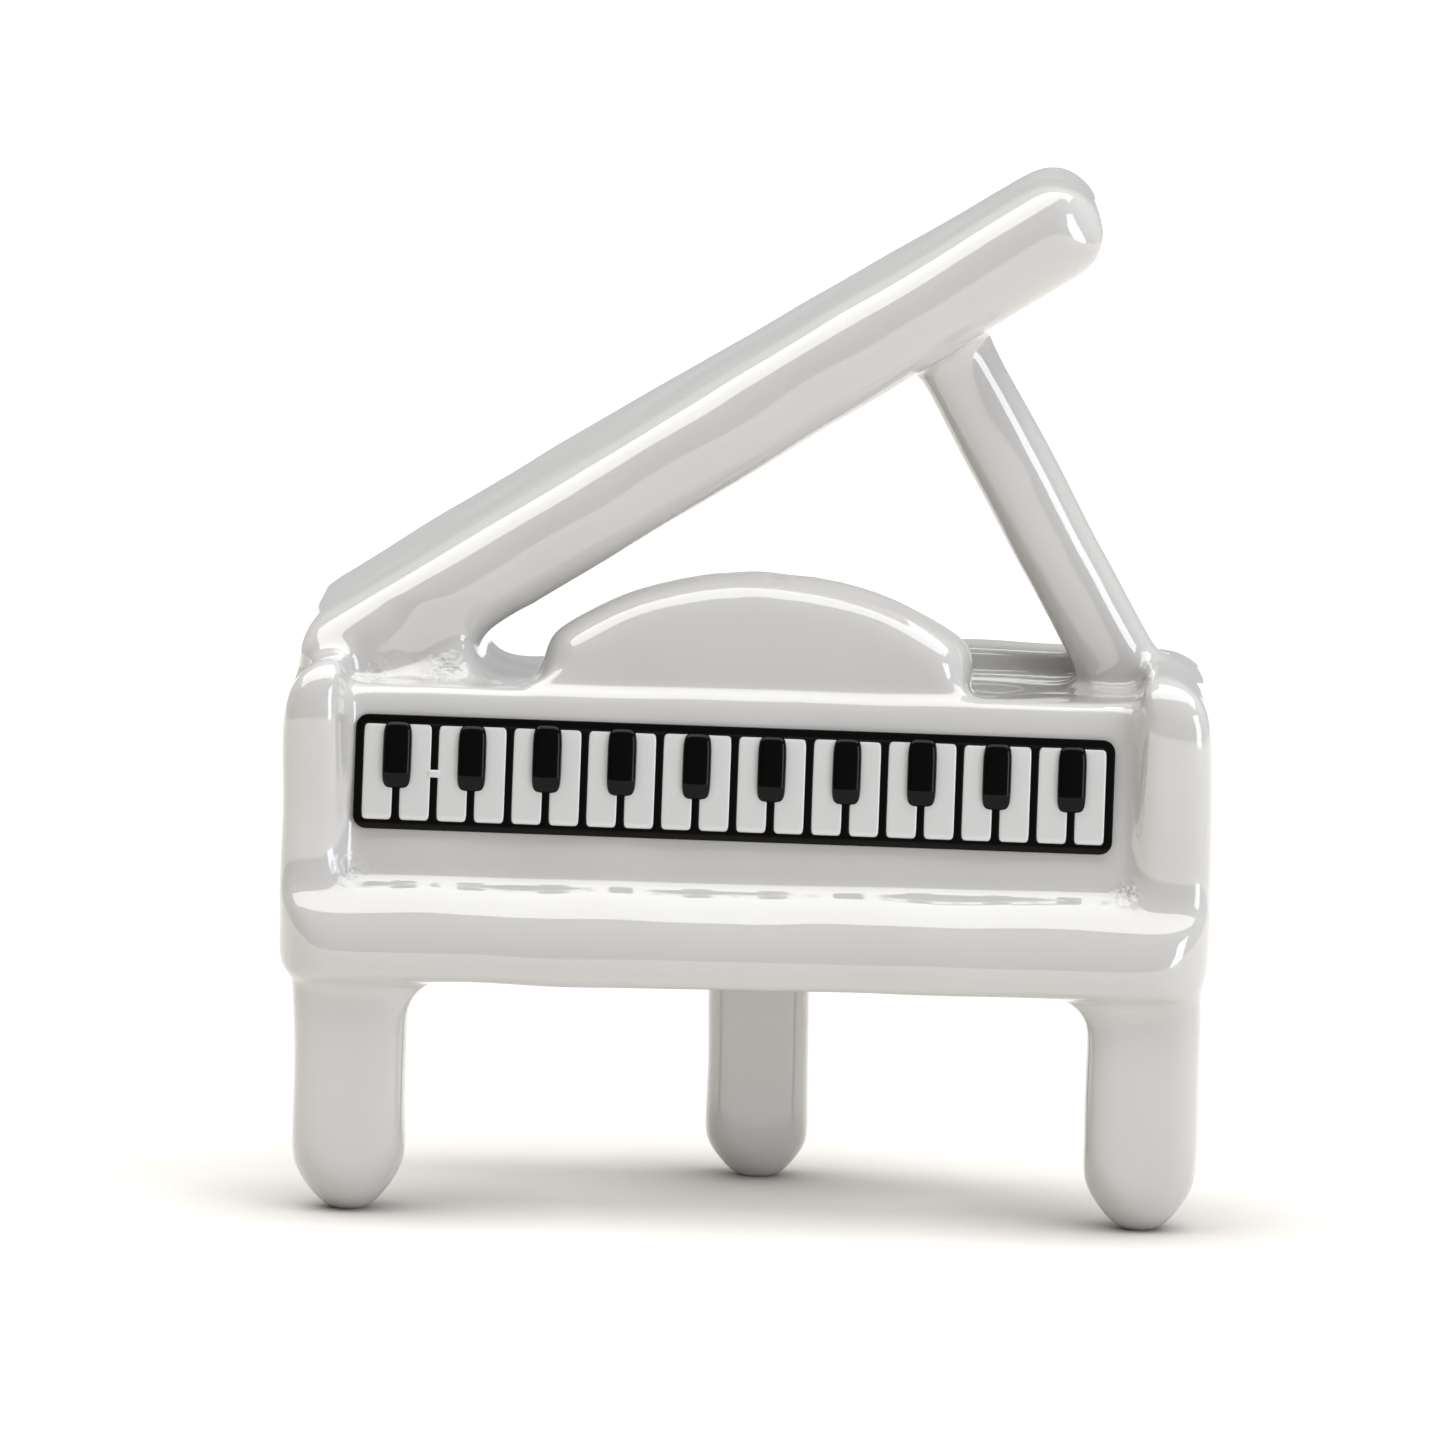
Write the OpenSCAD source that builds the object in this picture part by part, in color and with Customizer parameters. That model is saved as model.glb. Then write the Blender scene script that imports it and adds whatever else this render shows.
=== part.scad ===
// Miniature grand piano, a glazed porcelain dolls-house ornament, in millimetres, +Z up.
// The front (keyboard side) faces -Y, the floor is Z = 0, and the middle of the outline is X = Y = 0.

/* [Case] */
// Width of the case across the two cheeks
case_width = 36; // [24:0.5:60]
// Depth of the case from the front of the cheeks to the tail
case_depth = 18; // [12:0.5:30]
// Height of the underside above the floor, which is the length of a leg
underside = 9.2; // [5:0.1:16]
// Height of the cheek tops above the floor
cheek_top = 21.6; // [16:0.1:30]
// Width of the treble cheek beside the keyboard
cheek_width = 2.7; // [1.5:0.1:5]
// Width of the bass cheek
bass_cheek_width = 2.2; // [1.5:0.1:5]
// How far the faces of the cheeks stand behind the key slip that runs below them
cheek_setback = 1.4; // [0:0.1:1.8]
// Where the bentside starts on the rear edge, from the middle of the case
bent_x = -4; // [-10:0.5:12]
// Angle of the bentside to the rear edge, in degrees
bent_angle = 10.5; // [4:0.5:20]
// Height of the rail above the keys, which is also the level of the deck
rail_top = 20.4; // [15:0.1:28]

/* [Keyboard] */
// Number of white keys
white_keys = 20; // [7:1:28]
// Width of one white key with its share of the dividing lines
key_pitch = 1.4527; // [0.8:0.01:2.5]
// Height of the printed keyboard frame
frame_height = 4.44; // [2:0.05:8]
// Width of the lines between the keys
line_width = 0.31; // [0.15:0.01:0.6]
// How far the printed keyboard is out of level, down towards the treble, in degrees
frame_tilt = 0.6; // [0:0.1:2]
// How far the keyboard panel leans back from upright, in degrees
panel_lean = 8; // [0:0.5:20]

/* [Lid] */
// Slope of the open lid, in degrees
lid_slope = 32.4; // [10:0.1:45]
// Rise of the lid from its front edge to its rear edge, in degrees
lid_tilt = 3; // [0:0.5:6]
// Thickness of the lid
lid_thickness = 3.8; // [1.5:0.1:5]
// Length of the lid between the middles of its rounded ends
lid_length = 32.15; // [20:0.05:45]

/* [Prop] */
// Width of the bar that holds the lid open
prop_width = 3.1; // [1:0.1:4]
// Lean of the bar from upright, in degrees
prop_lean = 29; // [0:0.5:40]

/* [Music desk] */
// Half the width of the music desk
desk_half = 8.45; // [5:0.05:11]
// Height of the music desk above the rail
desk_height = 4.6; // [2:0.1:7]

/* [Legs] */
// Width of a front leg
leg_width = 4.36; // [2:0.02:6]
// Depth of a front leg
leg_depth = 3.7; // [2:0.05:6]
// Distance from the middle of the case to each front leg
leg_spread = 15.4; // [10:0.1:17]
// Shift of both front legs towards the treble
leg_shift = 0.2; // [-1:0.1:1]

/* [Hidden] */
$fn = 64;
e = 0.01;
gap = 0.05;                       // fitting clearance between two pieces
yf = -case_depth / 2;             // plane of the cheek fronts
hw = case_width / 2;              // half width of the case
rx = hw - cheek_width;            // treble side of the keyboard recess
rxl = hw - bass_cheek_width;      // bass side of the keyboard recess
lid_r = lid_thickness / 2;
lid_x = -hw + 2.25;               // middle of the rounded end that rests on the case
lid_z = cheek_top - 0.6;
lid_yf = yf + 5.2;                // front edge of the lid
root_x = lid_x + lid_r + 0.5;     // the deck and the shelf stop here, beside the root of the lid
lid_depth = -yf - lid_yf;         // depth of the lid on the bass side
prop_x = 13.9;
prop_z = cheek_top + 0.2;
prop_y = yf + 9.5;
prop_d = 2.9;
deck_y = yf + 6.6;                // front edge of the deck behind the shelf
deck_yb = yf + 15.2;
wall_y = yf + 10.9;               // front face of the raised block behind the deck
panel_y = yf + 2.0;               // keyboard panel at its foot
panel_z = underside + 3.9;        // foot of the panel, top of the key slip
frame_x = -hw + 2.8;              // left edge of the keyboard frame
slip_r = 3.3;                     // radius of the swell of the key slip
slip_d = 2.0;                     // depth of the key slip in front of the panel
slip_z = panel_z - sqrt(slip_r * slip_r - (slip_r - slip_d) * (slip_r - slip_d));
wall_x = 2;                       // the raised block behind the deck runs from here to the treble side
border = 0.37;
frame_w = white_keys * key_pitch + 0.37;
black_len = 2.86;
black_w = 1.13;
desk_y = yf + 3.6;
desk_d = 2.4;
rear_x = 0.3;
rear_y = yf + 13.7;
tenon_r = 1.2;
tenon_h = 1.5;

WHITE = [0.93, 0.92, 0.90];
CREAM = [0.90, 0.89, 0.86];
BLACK = [0.05, 0.05, 0.05];

// A rectangle with round corners, from (x0, y0) to (x1, y1)
module round_box2(x0, y0, x1, y1, r) {
  union() {
    translate([x0 + r, y0]) square([x1 - x0 - 2 * r, y1 - y0]);
    translate([x0, y0 + r]) square([x1 - x0, y1 - y0 - 2 * r]);
    for (x = [x0 + r, x1 - r], y = [y0 + r, y1 - r]) translate([x, y]) circle(r = r);
  }
}

// Turns a front-view outline (X, Z) into a solid from y0 to y1
module front_view(y0, y1) {
  translate([0, y1, 0]) rotate([90, 0, 0]) linear_extrude(y1 - y0) children();
}

// Turns a side-view outline (Y, Z) into a solid from x0 to x1
module side_view(x0, x1) {
  translate([x0, 0, 0]) rotate([90, 0, 90]) linear_extrude(x1 - x0) children();
}

// Outline of the case from above: straight bass side, bentside on the treble side
module case_plan() {
  difference() {
    round_box2(-hw, yf, hw, -yf, 2.2);
    bentside_off(hw, 2.2);
  }
}

// What the bentside takes off an outline that ends at x_end, with a round corner of radius r there
module bentside_off(x_end, r) {
  edge_y = -yf - (x_end - bent_x) * tan(bent_angle);
  corner_y = edge_y - r * (1 - sin(bent_angle)) / cos(bent_angle);
  turn = 90 - bent_angle;
  translate([0.03 * sin(bent_angle), 0.03 * cos(bent_angle)])
    polygon(concat([[bent_x, -yf], [bent_x, -yf + 2], [x_end + 2, -yf + 2], [x_end + 2, corner_y]],
      [for (i = [0 : 10]) let (t = turn * i / 10) [x_end - r + r * cos(t), corner_y + r * sin(t)]]));
}

// A straight bar with round long edges whose rear edge lies along the bentside
module bentside_bar(z0, z1, r) {
  translate([bent_x, -yf, 0]) rotate([0, 0, -bent_angle])
    side_view(-40, 50) round_box2(-40, z0, 0, z1, r);
}

// Outline of the case from the front
module case_front() {
  union() {
    round_box2(-hw, underside + 3, hw, cheek_top, 2.3);
    round_box2(-hw, underside, hw, cheek_top - 4, 1.0);
  }
}

// Outline of the case from the side: rounded key slip below, cheek above
module case_side() {
  union() {
    round_box2(yf + cheek_setback, underside + 3, -yf, cheek_top, 1.9);
    round_box2(yf, underside, -yf, panel_z + 1, 0.9);
  }
}

// Stands a lid drawn flat, from its bass end at the front, in its open place
module lid_place() {
  translate([lid_x, lid_yf, lid_z]) rotate([0, -lid_slope, 0]) rotate([lid_tilt, 0, 0]) children();
}

// Socket for the tenon of a leg
module leg_tenon(x, y, r, h) {
  translate([x, y, underside - e]) cylinder(r = r, h = h + e);
}

module case() {
  color(WHITE)
  difference() {
    intersection() {
      front_view(yf, -yf) case_front();
      translate([0, 0, underside]) linear_extrude(cheek_top - underside) case_plan();
      side_view(-hw, hw) case_side();
      bentside_bar(underside - 1, cheek_top, 1.9);
    }
    // recess for the keyboard panel, open at the front and the top
    translate([-rxl, yf - 1, panel_z]) cube([rxl + rx, lid_yf - gap - yf + 1, 12]);
    translate([root_x, yf + 1, panel_z]) cube([rx - root_x, deck_y - yf - 1, 12]);
    // the key slip is a full, rounded swell that runs on below the cheeks
    difference() {
      union() {
        translate([-rxl, yf - 1, slip_z]) cube([rxl + rx, slip_d + 1, 5]);
        translate([-hw - 1, yf - 1, slip_z]) cube([2 * hw + 2, cheek_setback + 1, 5]);
      }
      translate([-hw - 2, yf + slip_r, slip_z]) rotate([0, 90, 0])
        cylinder(r = slip_r, h = 2 * hw + 4, $fn = 120);
    }
    // pocket for the deck
    translate([root_x, deck_y - e, rail_top - 1.3]) cube([rx - root_x, wall_y - deck_y, 12]);
    translate([root_x, deck_y - e, rail_top - 1.3]) cube([wall_x - root_x, deck_yb - deck_y, 12]);
    // the tail behind the deck is lower than the cheeks
    translate([-hw - 1, deck_yb - 0.5, rail_top - 0.5]) cube([hw + 1 + wall_x, 10, 12]);
    // round seat for the root of the lid
    lid_place() translate([0, -gap, 0]) {
      rotate([-90, 0, 0]) cylinder(r = lid_r + gap, h = 20);
      translate([0, 0, -lid_r - gap]) cube([8, 20, 8]);
    }
    translate([-hw - 1, lid_yf - gap, lid_z]) cube([6, 20, 6]);
    // seat for the prop
    translate([prop_x, prop_y, rail_top - 1.2]) cylinder(r = 0.8 + gap, h = 4);
    prop_bar(prop_width / 2 + gap, prop_d / 2 + gap, 0);
    // sockets for the three legs
    leg_tenon(leg_shift - leg_spread, yf + 3.05, tenon_r + gap, tenon_h + 0.1);
    leg_tenon(leg_shift + leg_spread, yf + 3.05, tenon_r + gap, tenon_h + 0.1);
    leg_tenon(rear_x, rear_y, tenon_r + gap, tenon_h + 0.1);
  }
}

// The leaning panel that carries the keys, with the shelf that the music desk stands in
module fallboard() {
  color(WHITE)
  difference() {
    intersection() {
      translate([-rxl + gap, yf, panel_z + gap]) cube([rxl + rx - 2 * gap, deck_y - yf - gap, 12]);
      side_view(-rxl, rx)
        polygon([[panel_y, panel_z - 1], [panel_y, panel_z],
                 [panel_y + (rail_top - panel_z) * tan(panel_lean) - 0.05, rail_top - 0.35],
                 [panel_y + (rail_top - panel_z) * tan(panel_lean) + 0.05, rail_top - 0.1],
                 [panel_y + (rail_top - panel_z) * tan(panel_lean) + 0.3, rail_top],
                 [deck_y, rail_top], [deck_y, panel_z - 1]]);
    }
    // clear of the root of the lid
    translate([-rxl - 1, lid_yf - 2 * gap, panel_z - 1]) cube([root_x + rxl + 1 + gap, 10, 20]);
    // slot for the foot of the music desk
    translate([-5.05, desk_y + 0.65, rail_top - 1.1]) cube([10.1, 1.1, 3]);
  }
}

module deck() {
  color(CREAM) difference() {
    translate([0, 0, rail_top - 1.3 + gap]) linear_extrude(1.3 - gap) union() {
      translate([root_x + gap, deck_y + gap])
        square([rx - root_x - 2 * gap, wall_y - deck_y - 3 * gap]);
      translate([root_x + gap, deck_y + gap])
        square([wall_x - root_x - 2 * gap, deck_yb - deck_y - 3 * gap]);
    }
    prop_bar(prop_width / 2 + gap, prop_d / 2 + gap, 0);
  }
}

// Upright arch: two round shoulders under one wide round top
module desk_outline() {
  big = 14.2;
  small = 1.3;
  sx = desk_half - small;                       // middle of a shoulder
  bz = desk_height - big;                       // middle of the wide arc
  sz = bz + sqrt((big - small) * (big - small) - sx * sx);
  turn = atan2(sz - bz, sx);                    // where the shoulder runs into the wide arc
  polygon(concat(
    [[desk_half, 0]],
    [for (i = [0 : 7]) [sx + small * cos(turn * i / 8), sz + small * sin(turn * i / 8)]],
    [for (i = [0 : 28]) let (t = turn + (180 - 2 * turn) * i / 28) [big * cos(t), bz + big * sin(t)]],
    [for (i = [1 : 8]) let (t = 180 - turn + turn * i / 8) [-sx + small * cos(t), sz + small * sin(t)]],
    [[-desk_half, 0]]));
}

module music_desk() {
  color(WHITE) union() {
    difference() {
      translate([0, 0, rail_top + gap]) front_view(desk_y, desk_y + desk_d) desk_outline();
      // slight backward rake of the front face
      translate([0, desk_y, rail_top + 1.2]) rotate([-6, 0, 0])
        translate([-20, -5, 0]) cube([40, 5, 8]);
    }
    translate([-5, desk_y + 0.7, rail_top - 1]) cube([10, 1, 1 + 2 * gap]);
  }
}

module lid() {
  color(WHITE)
  difference() {
    lid_place() intersection() {
      // rounded ends
      union() {
        translate([0, 0, -lid_r]) cube([lid_length, lid_depth, 2 * lid_r]);
        for (x = [0, lid_length])
          translate([x, 0, 0]) rotate([-90, 0, 0]) cylinder(r = lid_r, h = lid_depth);
      }
      // round front and rear edges, all along its length
      side_view(-lid_r - 1, lid_length + lid_r + 1) round_box2(0, -lid_r, lid_depth, lid_r, 1.8);
      translate([-lid_x, -lid_yf, 0]) bentside_bar(-lid_r - 0.02, lid_r + 0.02, 1.8);
      // round corners seen from above
      translate([0, 0, -lid_r - 1]) linear_extrude(2 * lid_r + 2) difference() {
        round_box2(-lid_r, 0, lid_length + lid_r, lid_depth, 1.85);
        translate([-lid_x, -lid_yf]) bentside_off(lid_x + lid_length + lid_r, 1.85);
      }
    }
    // socket for the top of the prop
    prop_axis() cylinder(r = 0.8 + gap, h = prop_len() + 1.5);
  }
}

function prop_len() = 13.2;

module prop_axis() {
  translate([prop_x, prop_y, prop_z]) rotate([0, -prop_lean, 0]) children();
}

// Bar with rounded long edges, a the half width, b the half depth
module prop_bar(a, b, low) {
  prop_axis() translate([0, 0, -2.6 - low]) linear_extrude(prop_len() + 6) round_box2(-a, -b, a, b, 1.1);
}

module lid_prop() {
  color(WHITE)
  union() {
    difference() {
      intersection() {
        prop_bar(prop_width / 2, prop_d / 2, 0);
        translate([-hw, yf, rail_top - 1.2]) cube([2 * hw, case_depth, 30]);
      }
      // top end follows the underside of the lid
      lid_place() translate([0, -20, -lid_r - gap]) cube([60, 40, 20]);
    }
    prop_axis() translate([0, 0, 8]) cylinder(r = 0.8, h = prop_len() - 8 + 1.2);
  }
}

// A leg with a bullet tip, a rounded rectangular shaft and a flare on one or both sides
module leg(x, y, w, d, inner, outer) {
  color(WHITE) union() {
    translate([x, y, 0]) intersection() {
      linear_extrude(underside - gap) round_box2(-w / 2, -d / 2, w / 2, d / 2, 1.0);
      union() {
        translate([0, 0, 3.6]) cylinder(r = w, h = underside);
        rotate_extrude() intersection() {
          translate([2.5 - 4.6, 3.6]) circle(r = 4.6, $fn = 160);
          square([2.5, 3.61]);
        }
      }
    }
    translate([x, y, 0]) front_view(-d / 2 + 0.4, d / 2 - 0.2) difference() {
      polygon([[-w / 2 - outer, underside - gap], [-w / 2 - outer, underside - 0.15],
               [-w / 2, underside - 1.3], [w / 2, underside - 1.3],
               [w / 2 + inner, underside - 0.15], [w / 2 + inner, underside - gap]]);
      translate([w / 2 + 1.3, underside - 1.45]) circle(r = 1.3);
      translate([-w / 2 - 1.3, underside - 1.45]) circle(r = 1.3);
    }
    translate([x, y, underside - 1]) cylinder(r = tenon_r, h = tenon_h + 1);
  }
}

module leg_front_left() { leg(leg_shift - leg_spread, yf + 3.05, leg_width, leg_depth, 1.1, 0); }
module leg_front_right() { leg(leg_shift + leg_spread, yf + 3.05, leg_width, leg_depth, 0, 1.1); }
module leg_rear() { leg(rear_x, rear_y, 3.95, 3.7, 1.0, 1.0); }

// Keyboard pieces are drawn flat, X across and Y up the panel, then stood on the panel
module on_panel() {
  translate([frame_x, panel_y, panel_z]) rotate([90 - panel_lean, 0, 0])
    translate([frame_w / 2, 1.75 + frame_height / 2, gap]) rotate([0, 0, -frame_tilt])
      translate([-frame_w / 2, -frame_height / 2, 0]) children();
}

function key_x(i) = 0.185 + i * key_pitch;      // dividing line i, counted from the bass end

// Footprint of black key j, grown by g
module black_foot(j, g) {
  round_box2(key_x(2 * j - 1) - black_w / 2 - g, frame_height - black_len - g,
             key_x(2 * j - 1) + black_w / 2 + g, frame_height - 0.14 + g, 0.25);
}

module white_foot(i) {
  difference() {
    round_box2(key_x(i) + line_width / 2 + gap / 2, border + gap / 2,
               key_x(i + 1) - line_width / 2 - gap / 2, frame_height - border - gap / 2, 0.15);
    j = i % 2 == 0 ? i / 2 + 1 : (i + 1) / 2;
    black_foot(j, gap / 2);
  }
}

module key_frame() {
  color(BLACK)
  on_panel() linear_extrude(0.2) difference() {
    round_box2(0, 0, frame_w, frame_height, 0.5);
    for (i = [0 : white_keys - 1])
      round_box2(key_x(i) + line_width / 2, border,
                 key_x(i + 1) - line_width / 2, frame_height - border, 0.15);
    for (j = [1 : white_keys / 2]) black_foot(j, gap / 2);
    // small break in the line between the second and third white keys
    translate([key_x(2) - 0.4, 2.05]) square([0.8, 0.3]);
  }
}

module white_key(i) {
  color(WHITE)
  on_panel() linear_extrude(0.28) union() {
    white_foot(i);
    if (i == 1) translate([key_x(2) - 0.4, 2.05 + gap / 2]) square([0.62, 0.3 - gap]);
  }
}

module black_key(j) {
  color(BLACK)
  on_panel() intersection() {
    linear_extrude(0.9) black_foot(j, 0);
    // sloping front facet
    translate([-1, 0, 0]) rotate([90, 0, 90]) linear_extrude(frame_w + 2)
      polygon([[frame_height - black_len - 1, 0], [frame_height + 1, 0],
               [frame_height + 1, 0.72], [frame_height - black_len + 0.45, 0.72],
               [frame_height - black_len + 0.08, 0.3], [frame_height - black_len - 1, 0.3]]);
  }
}

case();
fallboard();
deck();
music_desk();
lid();
lid_prop();
leg_front_left();
leg_front_right();
leg_rear();
key_frame();
white_key(0);  // white_key_01
white_key(1);  // white_key_02
white_key(2);  // white_key_03
white_key(3);  // white_key_04
white_key(4);  // white_key_05
white_key(5);  // white_key_06
white_key(6);  // white_key_07
white_key(7);  // white_key_08
white_key(8);  // white_key_09
white_key(9);  // white_key_10
white_key(10);  // white_key_11
white_key(11);  // white_key_12
white_key(12);  // white_key_13
white_key(13);  // white_key_14
white_key(14);  // white_key_15
white_key(15);  // white_key_16
white_key(16);  // white_key_17
white_key(17);  // white_key_18
white_key(18);  // white_key_19
white_key(19);  // white_key_20
black_key(1);  // black_key_01
black_key(2);  // black_key_02
black_key(3);  // black_key_03
black_key(4);  // black_key_04
black_key(5);  // black_key_05
black_key(6);  // black_key_06
black_key(7);  // black_key_07
black_key(8);  // black_key_08
black_key(9);  // black_key_09
black_key(10);  // black_key_10
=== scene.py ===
# %% [markdown]
# # A miniature grand piano in glazed porcelain
# This lesson dresses a measured frame, the piano's own CAD solids, in a soft white glaze.
# The frame gives every place and size. What is added here is what glaze does to a fired
# piece: it rounds each edge, fills each corner, and ripples a little where it pooled.

# %% Load the frame
import math

import bmesh
import bpy
import numpy as np
from mathutils import Matrix, Vector, noise
from mathutils.bvhtree import BVHTree
from mathutils.interpolate import poly_3d_calc


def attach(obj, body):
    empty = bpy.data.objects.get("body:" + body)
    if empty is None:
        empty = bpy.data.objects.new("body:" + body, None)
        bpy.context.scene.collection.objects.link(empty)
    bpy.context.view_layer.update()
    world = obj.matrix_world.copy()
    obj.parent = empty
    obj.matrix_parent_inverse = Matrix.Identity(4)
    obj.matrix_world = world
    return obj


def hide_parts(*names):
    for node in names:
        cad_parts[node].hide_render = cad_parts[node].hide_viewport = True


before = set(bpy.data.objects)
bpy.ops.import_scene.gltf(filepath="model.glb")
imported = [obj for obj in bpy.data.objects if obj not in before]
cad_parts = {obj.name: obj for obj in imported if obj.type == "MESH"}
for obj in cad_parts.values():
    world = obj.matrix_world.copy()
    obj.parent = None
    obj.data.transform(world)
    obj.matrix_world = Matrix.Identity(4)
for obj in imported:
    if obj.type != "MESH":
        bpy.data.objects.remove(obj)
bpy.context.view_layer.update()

MM = 0.001
scene = bpy.context.scene


# %% [markdown]
# ## Colours and shader nodes
# Colours are written as sRGB hex, as a paint chart gives them, and one function turns them
# into the linear values that a shader needs. One more function adds a node to any tree,
# with its settings and its links, so that each material below reads as a short recipe.

# %% Colour and node helpers
def linear(hex_colour):
    parts = [int(hex_colour[i:i + 2], 16) / 255 for i in (1, 3, 5)]
    return tuple(c / 12.92 if c <= 0.04045 else ((c + 0.055) / 1.055) ** 2.4 for c in parts) + (1.0,)


def add(tree, kind, settings=None, **links):
    """Adds a node. settings go to its options or sockets; links name a socket, or i0, i1 by order."""
    node = tree.nodes.new(kind)
    for key, value in (settings or {}).items():
        if isinstance(key, str) and hasattr(node, key) and key not in node.inputs:
            setattr(node, key, value)
        else:
            node.inputs[key].default_value = value
    for key, source in links.items():
        by_order = key[0] == "i" and key[1:].isdigit()
        socket = node.inputs[int(key[1:]) if by_order else key.replace("_", " ")]
        tree.links.new(source, socket)
    return node


def blank_material(name):
    material = bpy.data.materials.new(name)
    material.use_nodes = True
    material.node_tree.nodes.clear()
    return material, material.node_tree


print("mid grey is", round(linear("#808080")[0], 3), "in linear light")

# %% [markdown]
# ## White glazed porcelain
# The body is white porcelain under a clear glaze. The eye sees a warm white that is soft
# inside and very glossy on top, with a faint ripple a millimetre or two across, and here
# and there a pinprick pit where a bubble burst in the kiln. In a few tight corners the
# glaze boiled into a fine froth. The glaze is a smooth dielectric with an index near 1.5.
# Its slow waves are in the meshes further on; the ripple, the pits and the froth are finer
# than that, so they are bump, at their true sizes.

# %% Porcelain material
# corners where the glaze pooled and frothed: (x, y, z) and reach, in millimetres
FROTH = [((-12.0, -4.0, 20.7), 1.1), ((-14.6, -4.3, 20.9), 0.7), ((12.6, -1.6, 21.0), 1.1),
         ((15.2, -1.4, 22.0), 0.6), ((-15.3, -7.2, 13.4), 0.8), ((14.9, -7.2, 13.2), 0.8)]


def froth_height(tree, place):
    """Bubbles 0.3 mm across that fade out with distance from the nearest frothed corner."""
    froth = add(tree, "ShaderNodeTexNoise", {"Scale": 1 / (0.3 * MM), "Detail": 1.0}, Vector=place)
    nearest = None
    for spot, reach in FROTH:
        far = add(tree, "ShaderNodeVectorMath", {"operation": "DISTANCE", 1: tuple(c * MM for c in spot)},
                  i0=place)
        near = add(tree, "ShaderNodeMapRange",
                   {"From Min": 0.0, "From Max": reach * MM, "To Min": 1.0, "To Max": 0.0},
                   Value=far.outputs["Value"]).outputs["Result"]
        if nearest is None:
            nearest = near
        else:
            nearest = add(tree, "ShaderNodeMath", {"operation": "MAXIMUM"}, i0=nearest, i1=near).outputs[0]
    return add(tree, "ShaderNodeMath", {"operation": "MULTIPLY"}, i0=nearest, i1=froth.outputs["Fac"])


def glazed_porcelain(name, body_hex, warm_hex):
    material, tree = blank_material(name)
    place = add(tree, "ShaderNodeTexCoord").outputs["Object"]
    # colour and gloss drift over patches about 9 mm across
    patches = add(tree, "ShaderNodeTexNoise", {"Scale": 1 / (9 * MM), "Detail": 1.0}, Vector=place)
    tint = add(tree, "ShaderNodeMix", {"data_type": "RGBA", 6: linear(body_hex), 7: linear(warm_hex)},
               Factor=patches.outputs["Fac"])
    shine = add(tree, "ShaderNodeMapRange",
                {"From Min": 0.3, "From Max": 0.7, "To Min": 0.03, "To Max": 0.06},
                Value=patches.outputs["Fac"])
    # ripple: waves about 2.5 mm across
    ripple = add(tree, "ShaderNodeTexNoise", {"Scale": 1 / (2.5 * MM), "Detail": 2.0, "Roughness": 0.4},
                 Vector=place)
    # pits: cells 1.6 mm apart, each with a dimple about 0.1 mm in radius
    cells = add(tree, "ShaderNodeTexVoronoi", {"feature": "F1", "Scale": 1 / (1.6 * MM), "Randomness": 1.0},
                Vector=place)
    pits = add(tree, "ShaderNodeMapRange",
               {"From Min": 0.0, "From Max": 0.055, "To Min": 0.0, "To Max": 1.0},
               Value=cells.outputs["Distance"])
    waves = add(tree, "ShaderNodeBump", {"Strength": 0.12, "Distance": 0.06 * MM},
                Height=ripple.outputs["Fac"])
    dimples = add(tree, "ShaderNodeBump", {"Strength": 0.35, "Distance": 0.03 * MM},
                  Height=pits.outputs["Result"], Normal=waves.outputs["Normal"])
    bubbles = add(tree, "ShaderNodeBump", {"Strength": 0.8, "Distance": 0.35 * MM},
                  Height=froth_height(tree, place).outputs[0], Normal=dimples.outputs["Normal"])
    glaze = add(tree, "ShaderNodeBsdfPrincipled",
                {"IOR": 1.55, "Coat Weight": 1.0, "Coat Roughness": 0.015, "Coat IOR": 1.5},
                Base_Color=tint.outputs[2], Roughness=shine.outputs["Result"],
                Normal=bubbles.outputs["Normal"])
    add(tree, "ShaderNodeOutputMaterial", Surface=glaze.outputs["BSDF"])
    return material


porcelain = glazed_porcelain("porcelain_white_glazed", "#C5C4C2", "#C2C0BD")
key_white = glazed_porcelain("porcelain_key_white", "#CECECD", "#CBCBCA")
print("made", porcelain.name, "and", key_white.name)

# %% [markdown]
# ## Black enamel
# The lines and the black keys are black enamel, fired on over the white. The eye sees a
# deep black: the lines are thin and flat with a duller face, and the keys stand proud and
# are glossier. Enamel is glass, index 1.5, over a surface that swallows nearly all light, so
# the base is almost black and the reflections are kept low.

# %% Enamel materials
def fired_enamel(name, colour_hex, low, high, level):
    """Enamel whose roughness drifts between low and high; level is the strength of its gloss."""
    material, tree = blank_material(name)
    place = add(tree, "ShaderNodeTexCoord")
    # unevenness: patches about 0.6 mm across
    patches = add(tree, "ShaderNodeTexNoise", {"Scale": 1 / (0.6 * MM), "Detail": 2.0},
                  Vector=place.outputs["Object"])
    shine = add(tree, "ShaderNodeMapRange", {"To Min": low, "To Max": high}, Value=patches.outputs["Fac"])
    skin = add(tree, "ShaderNodeBump", {"Strength": 0.2, "Distance": 0.02 * MM},
               Height=patches.outputs["Fac"])
    enamel = add(tree, "ShaderNodeBsdfPrincipled",
                 {"Base Color": linear(colour_hex), "IOR": 1.5, "Specular IOR Level": level},
                 Roughness=shine.outputs["Result"], Normal=skin.outputs["Normal"])
    add(tree, "ShaderNodeOutputMaterial", Surface=enamel.outputs["BSDF"])
    return material


enamel_line = fired_enamel("enamel_line_black", "#080706", 0.12, 0.22, 0.12)
enamel_key = fired_enamel("enamel_key_black", "#050505", 0.05, 0.10, 0.15)
print("made", enamel_line.name, "and", enamel_key.name)


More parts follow.
